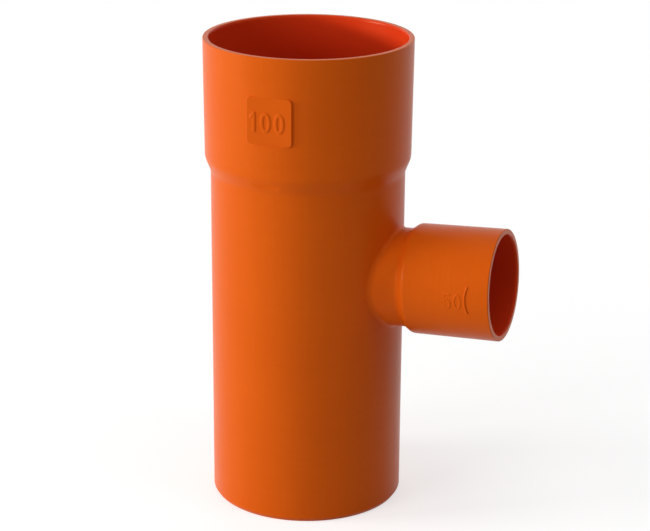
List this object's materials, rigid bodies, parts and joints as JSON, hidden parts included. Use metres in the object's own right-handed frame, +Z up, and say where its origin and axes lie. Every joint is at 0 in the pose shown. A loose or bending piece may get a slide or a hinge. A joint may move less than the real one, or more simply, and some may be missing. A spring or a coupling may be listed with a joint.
{
  "type": "reducing drain branch",
  "caption": "Vertical waste pipe fitting with a spigot below, a socket above and a smaller socket that branches off near a right angle and rises slightly.",
  "frame": {"origin": "middle of the spigot's end face, on the run's axis", "axes": "+Z up the run from the spigot to the socket, +X towards the side that the branch leaves"},
  "size_m": [0.1614, 0.1072, 0.2465],
  "materials": {
    "orange_pvc": "satin injection-moulded rigid PVC, orange through and through"
  },
  "bodies": {
    "root": {"drain_branch": "orange_pvc"}
  },
  "joints": []
}
